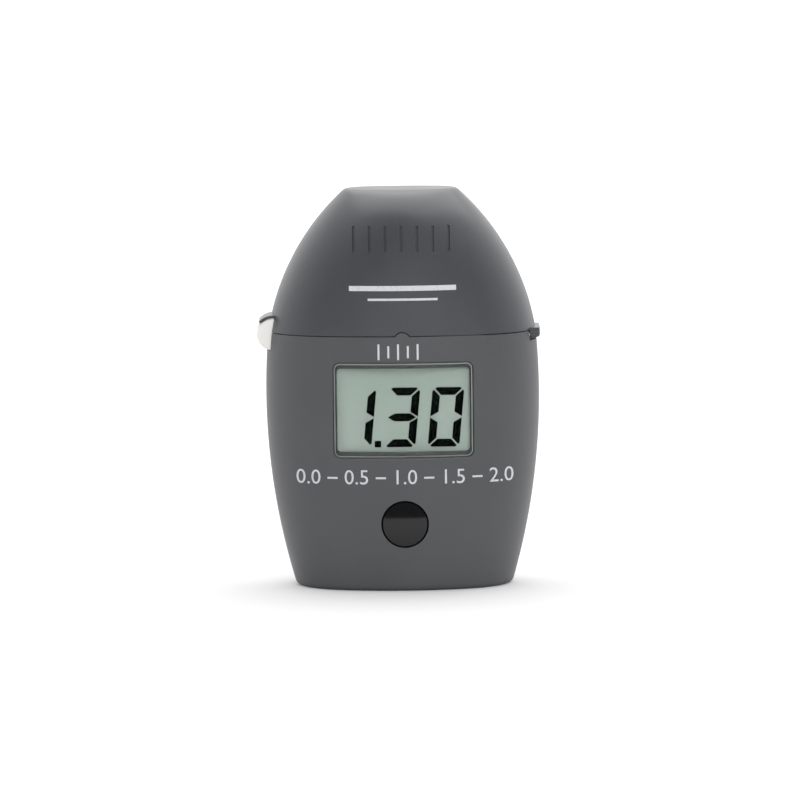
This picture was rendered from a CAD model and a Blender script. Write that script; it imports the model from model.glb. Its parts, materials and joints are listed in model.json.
"""Looks for the handheld colorimeter: materials, printed marks, studio and camera."""

import json
from math import radians

import bpy
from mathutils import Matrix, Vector


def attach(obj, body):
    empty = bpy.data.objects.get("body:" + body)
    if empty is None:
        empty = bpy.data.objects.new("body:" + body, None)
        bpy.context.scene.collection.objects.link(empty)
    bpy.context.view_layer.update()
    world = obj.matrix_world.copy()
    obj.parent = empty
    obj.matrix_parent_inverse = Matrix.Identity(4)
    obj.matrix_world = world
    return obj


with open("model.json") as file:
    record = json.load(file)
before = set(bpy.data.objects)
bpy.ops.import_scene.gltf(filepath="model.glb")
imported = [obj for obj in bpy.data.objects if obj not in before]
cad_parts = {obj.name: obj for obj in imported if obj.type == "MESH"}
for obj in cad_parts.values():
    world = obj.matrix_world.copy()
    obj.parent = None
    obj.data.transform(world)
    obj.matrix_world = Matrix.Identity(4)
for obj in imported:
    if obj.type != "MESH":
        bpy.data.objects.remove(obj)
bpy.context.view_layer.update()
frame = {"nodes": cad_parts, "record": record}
nodes = frame["nodes"]
MM = 0.001

# Sizes and places of the printed marks and the window's rim, in millimetres

# Number scale under the window, with a dash between two numbers
scale_x = 0.3
scale_z = 24.7
scale_count = 5
scale_step = 0.5
number_pitch = 10.4
number_size = 4.5
dash_length = 2.2
ink_line = 0.42

# Ticks above the window
ticks_x = -0.9
ticks_z = 51.9
tick_count = 5
tick_pitch = 2.1
long_tick = 3.4
short_tick = 2.6

# Stripes on the lid
stripe_x = 0.2
upper_stripe_z = 65.6
upper_stripe_size = (23.0, 1.1)
lower_stripe_z = 63.2
lower_stripe_size = (15.0, 0.5)

# Polished rim of the window
window_x = 0.1
window_z = 39.25
rim_width = 29.8
rim_height = 20.2
rim_corner = 1.3
rim_line = 0.26

# How flat marks are laid on: begun in front of the object, then pressed back onto it
mark_start_y = -30.0
mark_lift = 0.03
merge_distance = 0.002
facing_front = (radians(90), 0, 0)

# Button: how far behind its front face the polish ends, and the matt skirt begins
polish_depth = 0.6
skirt_depth = 0.9

# Studio, in metres. The floor's glow grows from the first distance to the second
white = (1, 1, 1, 1)
floor_size = 20.0
floor_color = (0.7, 0.7, 0.7)
glow_distances = (0.1, 1.3)
glow_strengths = (0.12, 0.58)
dim_front = 0.13
bright_back = 1.4

# Camera, in metres
camera_lens = 354.2
camera_stand = Vector((-0.0006, -1.7, 0.203))
camera_aim = Vector((-0.0006, 0.0, 0.0398))
camera_roll = radians(-0.65)


# Shader helpers

def make_material(name, color, roughness, **sockets):
    """A material with its even values set on the shader, given back with its tree and shader."""
    material = bpy.data.materials.new(name)
    material.use_nodes = True
    shader = material.node_tree.nodes["Principled BSDF"]
    shader.inputs["Base Color"].default_value = (*color, 1)
    shader.inputs["Roughness"].default_value = roughness
    for socket, value in sockets.items():
        shader.inputs[socket.replace("_", " ")].default_value = value
    return material, material.node_tree, shader


def object_place(tree):
    """Coordinates fixed to the object."""
    return tree.nodes.new("ShaderNodeTexCoord").outputs["Object"]


def object_noise(tree, scale, detail):
    """Noise fixed to the object."""
    noise = tree.nodes.new("ShaderNodeTexNoise")
    noise.inputs["Scale"].default_value = scale
    noise.inputs["Detail"].default_value = detail
    noise.inputs["Roughness"].default_value = 0.55
    tree.links.new(object_place(tree), noise.inputs["Vector"])
    return noise.outputs["Fac"]


def along(tree, vector, axis):
    """One coordinate of a vector."""
    split = tree.nodes.new("ShaderNodeSeparateXYZ")
    tree.links.new(vector, split.inputs["Vector"])
    return split.outputs[axis]


def combine(tree, operation, first, second):
    """Two values joined by one sum."""
    node = tree.nodes.new("ShaderNodeMath")
    node.operation = operation
    tree.links.new(first, node.inputs[0])
    tree.links.new(second, node.inputs[1])
    return node.outputs["Value"]


def value_range(tree, value, low, high, start=0.3, end=0.7):
    """A value between start and end, stretched to run from low to high."""
    node = tree.nodes.new("ShaderNodeMapRange")
    node.inputs["From Min"].default_value = start
    node.inputs["From Max"].default_value = end
    node.inputs["To Min"].default_value = low
    node.inputs["To Max"].default_value = high
    tree.links.new(value, node.inputs["Value"])
    return node.outputs["Result"]


def tint(tree, shader, value, stops, interpolation="LINEAR"):
    """Colour the shader by a value, through a ramp of two colours."""
    node = tree.nodes.new("ShaderNodeValToRGB")
    node.color_ramp.interpolation = interpolation
    for element, (place, color) in zip(node.color_ramp.elements, stops):
        element.position = place
        element.color = (*color, 1)
    tree.links.new(value, node.inputs["Fac"])
    tree.links.new(node.outputs["Color"], shader.inputs["Base Color"])


def vary_gloss(tree, shader, value, smooth, rough, **span):
    """Let the roughness follow a value."""
    roughness = value_range(tree, value, smooth, rough, **span)
    tree.links.new(roughness, shader.inputs["Roughness"])


def add_bump(tree, shader, height, distance, strength):
    """Small relief from a height value."""
    bump = tree.nodes.new("ShaderNodeBump")
    bump.inputs["Distance"].default_value = distance
    bump.inputs["Strength"].default_value = strength
    tree.links.new(height, bump.inputs["Height"])
    tree.links.new(bump.outputs["Normal"], shader.inputs["Normal"])


def shade(color, factor):
    """A colour made darker or lighter."""
    return tuple(channel * factor for channel in color)


# Finishes

def moulded_plastic(
    name, color, roughness, grain=5200.0, relief=0.000012, spread=0.06, **sockets
):
    """Moulded plastic: fine spark-eroded grain, faint flow marks and uneven gloss."""
    material, tree, shader = make_material(name, color, roughness, **sockets)
    flow = object_noise(tree, scale=55.0, detail=4.0)
    stops = [(0.3, shade(color, 1 - spread)), (0.7, shade(color, 1 + spread))]
    tint(tree, shader, flow, stops)
    vary_gloss(tree, shader, flow, roughness - 0.03, roughness + 0.04)
    add_bump(tree, shader, object_noise(tree, grain, detail=2.0), relief, 0.6)
    return material


def brushed_metal(name, color, roughness):
    """Metal with fine turning marks and a little staining."""
    material, tree, shader = make_material(name, color, roughness, Metallic=1.0)
    stain = object_noise(tree, scale=400.0, detail=4.0)
    tint(tree, shader, stain, [(0.3, shade(color, 0.82)), (0.7, shade(color, 1.08))])
    vary_gloss(tree, shader, stain, roughness - 0.06, roughness + 0.1)
    add_bump(tree, shader, object_noise(tree, scale=2500.0, detail=2.0), 0.000005, 0.5)
    return material


def clear_plastic(name, color, roughness, ior, **sockets):
    """Clear plastic with faint wiping marks."""
    material, tree, shader = make_material(
        name, color, roughness, Transmission_Weight=1.0, IOR=ior, **sockets
    )
    wipe = object_noise(tree, scale=900.0, detail=2.0)
    vary_gloss(tree, shader, wipe, roughness, roughness + 0.03)
    return material


def display_glass(name):
    """Reflective display behind its polariser: pale green grey with a slow drift of colour."""
    material, tree, shader = make_material(name, (0.31, 0.355, 0.325), 0.4)
    drift = object_noise(tree, scale=28.0, detail=1.5)
    tint(tree, shader, drift, [(0.3, (0.285, 0.335, 0.3)), (0.7, (0.335, 0.37, 0.35))])
    add_bump(tree, shader, object_noise(tree, scale=9000.0, detail=1.0), 0.000004, 0.4)
    return material


def circuit_board(name):
    """Green board: solder mask over copper areas."""
    material, tree, shader = make_material(name, (0.02, 0.12, 0.05), 0.35)
    tracks = tree.nodes.new("ShaderNodeTexVoronoi")
    tracks.distance = "MANHATTAN"
    tracks.inputs["Scale"].default_value = 420.0
    tree.links.new(object_place(tree), tracks.inputs["Vector"])
    stops = [(0.42, (0.018, 0.11, 0.045)), (0.5, (0.035, 0.19, 0.075))]
    tint(tree, shader, tracks.outputs["Distance"], stops)
    return material


def striped_rubber(name):
    """Contact strip: thin conducting layers in soft rubber."""
    material, tree, shader = make_material(name, (0.4, 0.16, 0.2), 0.6)
    layers = tree.nodes.new("ShaderNodeTexWave")
    layers.inputs["Scale"].default_value = 700.0
    tree.links.new(object_place(tree), layers.inputs["Vector"])
    stops = [(0.4, (0.45, 0.2, 0.24)), (0.6, (0.03, 0.03, 0.03))]
    tint(tree, shader, layers.outputs["Fac"], stops)
    return material


def battery_sleeve(name):
    """Printed sleeve: pale body with a darker band at the flat end."""
    pale = (0.5, 0.5, 0.48)
    material, tree, shader = make_material(name, pale, 0.28, Metallic=0.3)
    level = along(tree, object_place(tree), "Z")
    share = value_range(tree, level, 0.0, 1.0, start=0.0, end=0.05)
    tint(tree, shader, share, [(0.0, pale), (0.62, (0.05, 0.05, 0.055))], "CONSTANT")
    add_bump(tree, shader, object_noise(tree, scale=1800.0, detail=2.0), 0.000006, 0.4)
    return material


def polished_button(name):
    """Black button: polished dome with fine wear, and a matt skirt down in the ring gap."""
    color = (0.004, 0.0043, 0.005)
    material, tree, shader = make_material(name, color, 0.1)
    wear = object_noise(tree, scale=700.0, detail=5.0)
    tint(tree, shader, wear, [(0.3, shade(color, 0.88)), (0.7, shade(color, 1.12))])
    front_y = min(corner[1] for corner in nodes["button"].bound_box)
    depth = along(tree, object_place(tree), "Y")
    skirt = {"start": front_y + polish_depth * MM, "end": front_y + skirt_depth * MM}
    vary_gloss(tree, shader, depth, 0.1, 0.95, **skirt)
    add_bump(tree, shader, wear, 0.0000015, 0.6)
    return material


def print_ink(name, color):
    """Screen-printed ink with slightly uneven cover."""
    material, tree, shader = make_material(name, color, 0.5)
    cover = object_noise(tree, scale=1500.0, detail=2.0)
    tint(tree, shader, cover, [(0.25, shade(color, 0.82)), (0.5, color)])
    return material


case_grey = (0.074, 0.0755, 0.081)
lid_grey = (0.046, 0.0485, 0.055)
chip_black = (0.015, 0.015, 0.016)
holder_black = (0.016, 0.016, 0.018)
segment_black = (0.0004, 0.002, 0.001)
finishes = {
    "shell_grey": moulded_plastic("case_plastic", case_grey, 0.4),
    "cover_grey": moulded_plastic("cover_plastic", shade(case_grey, 0.96), 0.42),
    "lid_grey": moulded_plastic("lid_plastic", lid_grey, 0.34, Specular_IOR_Level=0.7),
    # An anti-glare face, so that the dark segments stay dark behind the window
    "window_clear": clear_plastic(
        "window_acrylic", (0.95, 0.98, 0.96), 0.03, 1.1, Specular_IOR_Level=0.2
    ),
    "tape_black": moulded_plastic("window_tape_dark", (0.05, 0.052, 0.053), 0.6),
    "lcd_glass": display_glass("display_panel"),
    "lcd_segment": moulded_plastic(
        "display_segment", segment_black, 0.6, relief=0.000002, Specular_IOR_Level=0.0
    ),
    "frame_white": moulded_plastic("display_frame_white", (0.62, 0.62, 0.6), 0.5),
    "contact_rubber": striped_rubber("contact_strip_rubber"),
    "board_green": circuit_board("board_solder_mask"),
    "chip_black": moulded_plastic("chip_epoxy", chip_black, 0.55, grain=9000.0),
    "screw_steel": brushed_metal("screw_zinc", (0.55, 0.55, 0.54), 0.34),
    "switch_black": moulded_plastic("switch_plastic", (0.02, 0.02, 0.02), 0.5),
    "button_black": polished_button("button_plastic"),
    "holder_black": moulded_plastic(
        "holder_plastic", holder_black, 0.55, grain=3800.0, relief=0.00002
    ),
    "filter_green": clear_plastic("filter_glass", (0.15, 0.7, 0.22), 0.02, 1.52),
    "lamp_clear": clear_plastic("lamp_epoxy", (0.8, 0.95, 0.8), 0.04, 1.52),
    "cell_dark": moulded_plastic(
        "photocell_epoxy", (0.02, 0.022, 0.05), 0.12, relief=0.000002
    ),
    "wire_red": moulded_plastic("wire_red", (0.42, 0.015, 0.012), 0.38),
    "wire_blue": moulded_plastic("wire_blue", (0.012, 0.03, 0.3), 0.38),
    "battery_sleeve": battery_sleeve("battery_sleeve"),
    "tube_grey": moulded_plastic("tube_plastic", (0.06, 0.06, 0.063), 0.5),
    "contact_nickel": brushed_metal("contact_nickel", (0.68, 0.64, 0.57), 0.22),
    "hinge_white": moulded_plastic("hinge_white", (0.82, 0.81, 0.78), 0.4, spread=0.03),
    "pin_steel": brushed_metal("pin_steel", (0.6, 0.6, 0.6), 0.22),
    "seal_rubber": moulded_plastic("seal_rubber", (0.016, 0.016, 0.016), 0.7, grain=2600.0),
}
for part in frame["record"]["subparts"]:
    for mesh_slot in nodes[part["node"]].material_slots:
        mesh_slot.material = finishes[part["material_slot"]]


# Flat pieces on the shells: printed marks and the window's rim

def deselect():
    """Leave nothing selected, before a new piece is made."""
    bpy.ops.object.select_all(action="DESELECT")


def apply_place():
    """Put a new piece's place, turn and size into its mesh."""
    bpy.ops.object.transform_apply(location=True, rotation=True, scale=True)


def press_onto(piece, node):
    """Press a flat mesh from the front onto a CAD node, a hair proud of it."""
    deselect()
    piece.select_set(True)
    bpy.context.view_layer.objects.active = piece
    press = piece.modifiers.new("press", "SHRINKWRAP")
    press.target = nodes[node]
    press.wrap_method = "PROJECT"
    press.use_project_x = False
    press.use_project_y = True
    press.use_project_z = False
    press.use_positive_direction = True
    press.use_negative_direction = False
    press.offset = mark_lift * MM
    bpy.ops.object.modifier_apply(modifier=press.name)
    for polygon in piece.data.polygons:
        polygon.use_smooth = False


def lay_on(piece, name, node, body, material):
    """Finish a flat piece: lay it on a CAD node, and let it ride on that node's body."""
    piece.name = name
    piece.data.name = name
    press_onto(piece, node)
    piece.data.materials.clear()
    piece.data.materials.append(material)
    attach(piece, body)


def printed_number(text, x, z, size):
    """A printed number, cut fine enough to bend round the front."""
    deselect()
    bpy.ops.object.text_add(
        location=(x * MM, mark_start_y * MM, z * MM), rotation=facing_front
    )
    words = bpy.context.object
    words.data.body = text
    words.data.size = size * MM
    words.data.align_x = "CENTER"
    words.data.align_y = "CENTER"
    words.data.resolution_u = 3
    bpy.ops.object.convert(target="MESH")
    apply_place()
    bpy.ops.object.mode_set(mode="EDIT")
    bpy.ops.mesh.select_all(action="SELECT")
    bpy.ops.mesh.remove_doubles(threshold=merge_distance * MM)
    bpy.ops.mesh.subdivide(number_cuts=2)
    bpy.ops.object.mode_set(mode="OBJECT")
    return bpy.context.object


def printed_rule(x, z, width, height):
    """A printed line, cut across every half millimetre so that it bends round the front."""
    deselect()
    bpy.ops.mesh.primitive_grid_add(
        x_subdivisions=max(2, int(width * 2)),
        y_subdivisions=max(1, int(height)),
        size=1.0,
        location=(x * MM, mark_start_y * MM, z * MM),
        rotation=facing_front,
    )
    piece = bpy.context.object
    piece.scale = (width * MM, height * MM, 1)
    apply_place()
    return piece


def join(pieces):
    """Join marks into one piece."""
    deselect()
    for piece in pieces:
        piece.select_set(True)
    bpy.context.view_layer.objects.active = pieces[0]
    bpy.ops.object.join()
    return bpy.context.view_layer.objects.active


def window_rim():
    """A thin rounded outline, the size of the window."""
    deselect()
    bpy.ops.mesh.primitive_plane_add(
        size=1.0,
        location=(window_x * MM, mark_start_y * MM, window_z * MM),
        rotation=facing_front,
    )
    rim = bpy.context.object
    rim.scale = (rim_width * MM, rim_height * MM, 1)
    apply_place()
    bpy.ops.object.mode_set(mode="EDIT")
    bpy.ops.mesh.select_all(action="SELECT")
    bpy.ops.mesh.bevel(offset=rim_corner * MM, segments=6, affect="VERTICES")
    bpy.ops.mesh.select_all(action="SELECT")
    bpy.ops.mesh.inset(thickness=rim_line * MM)
    bpy.ops.mesh.delete(type="FACE")
    bpy.ops.mesh.select_all(action="SELECT")
    bpy.ops.mesh.subdivide(number_cuts=5)
    bpy.ops.object.mode_set(mode="OBJECT")
    return rim


ink = print_ink("print_ink", (0.6, 0.61, 0.64))

# Front: a plain number scale under the window, and plain ticks above it
front_marks = []
for place in range(scale_count):
    number_x = scale_x + (place - scale_count // 2) * number_pitch
    number = f"{place * scale_step:.1f}"
    front_marks.append(printed_number(number, number_x, scale_z, number_size))
    if place < scale_count - 1:
        dash_x = number_x + number_pitch / 2
        front_marks.append(printed_rule(dash_x, scale_z, dash_length, ink_line))
for place in range(tick_count):
    tick_x = ticks_x + (place - tick_count // 2) * tick_pitch
    tick = short_tick if place % 2 else long_tick
    front_marks.append(printed_rule(tick_x, ticks_z, ink_line, tick))
lay_on(join(front_marks), "front_scale_print", "front_case", "case", ink)

# Lid: two plain stripes
lid_marks = [
    printed_rule(stripe_x, upper_stripe_z, *upper_stripe_size),
    printed_rule(stripe_x, lower_stripe_z, *lower_stripe_size),
]
lay_on(join(lid_marks), "lid_stripe_print", "lid_shell", "lid", ink)

# The window's polished edge, which gathers light
rim_gloss = moulded_plastic("lens_edge", (0.36, 0.4, 0.38), 0.3)
lay_on(window_rim(), "window_polished_edge", "display_window", "case", rim_gloss)

# Floor: pale, and white to the camera away from the object's shadow
deselect()
bpy.ops.mesh.primitive_plane_add(size=floor_size, location=(0, 0, 0))
floor = bpy.context.object
floor.name = "studio_floor"
floor_material, floor_tree, floor_shader = make_material("studio_floor", floor_color, 0.9)
distance = floor_tree.nodes.new("ShaderNodeVectorMath")
distance.operation = "LENGTH"
floor_tree.links.new(object_place(floor_tree), distance.inputs[0])
glow_near, glow_far = glow_distances
strength = value_range(
    floor_tree, distance.outputs["Value"], *glow_strengths, start=glow_near, end=glow_far
)
floor_rays = floor_tree.nodes.new("ShaderNodeLightPath")
glow = combine(floor_tree, "MULTIPLY", floor_rays.outputs["Is Camera Ray"], strength)
floor_shader.inputs["Emission Color"].default_value = white
floor_tree.links.new(glow, floor_shader.inputs["Emission Strength"])
floor.data.materials.append(floor_material)

# World: bright behind the object, dim in front, and white to the camera and through clear pieces
world = bpy.data.worlds.new("studio")
bpy.context.scene.world = world
world.use_nodes = True
world_tree = world.node_tree
world_rays = world_tree.nodes.new("ShaderNodeLightPath")
heading = world_tree.nodes.new("ShaderNodeTexCoord").outputs["Generated"]
backwards = along(world_tree, heading, "Y")
surround = value_range(world_tree, backwards, dim_front, bright_back, start=-0.95, end=0.7)
backdrop = combine(
    world_tree,
    "MAXIMUM",
    world_rays.outputs["Is Camera Ray"],
    world_rays.outputs["Is Transmission Ray"],
)
seen = world_tree.nodes.new("ShaderNodeMix")
world_tree.links.new(backdrop, seen.inputs["Factor"])
world_tree.links.new(surround, seen.inputs["A"])
seen.inputs["B"].default_value = 1.0
background = world_tree.nodes["Background"]
background.inputs["Color"].default_value = white
world_tree.links.new(seen.outputs["Result"], background.inputs["Strength"])


def turn_towards(start, target):
    """The turn that points a lamp or the camera from one place at another."""
    return (Vector(target) - Vector(start)).to_track_quat("-Z", "Y").to_euler()


def soft_lamp(name, place, target, size, power, mirrored=True):
    """A square soft lamp. One that isn't mirrored leaves no bright patch on gloss."""
    lamp = bpy.data.lights.new(name, "AREA")
    lamp.size = size
    lamp.energy = power
    holder = bpy.data.objects.new(name, lamp)
    bpy.context.scene.collection.objects.link(holder)
    holder.location = place
    holder.rotation_euler = turn_towards(place, target)
    holder.visible_glossy = mirrored


soft_lamp("top_lamp", (0.1, 0.3, 1.05), target=(0.02, 0.05, 0.05), size=1.5, power=10.0)
soft_lamp(
    "front_lamp", (0.3, -1.6, 0.55), target=(0, 0, 0.04), size=1.1, power=14.0, mirrored=False
)

# Camera: in front and a little above, with a long lens
camera_data = bpy.data.cameras.new("camera")
camera_data.lens = camera_lens
camera = bpy.data.objects.new("camera", camera_data)
bpy.context.scene.collection.objects.link(camera)
camera.location = camera_stand
camera.rotation_euler = turn_towards(camera_stand, camera_aim)
camera.rotation_euler.rotate_axis("Z", camera_roll)
bpy.context.scene.camera = camera
bpy.context.scene.view_settings.view_transform = "Standard"
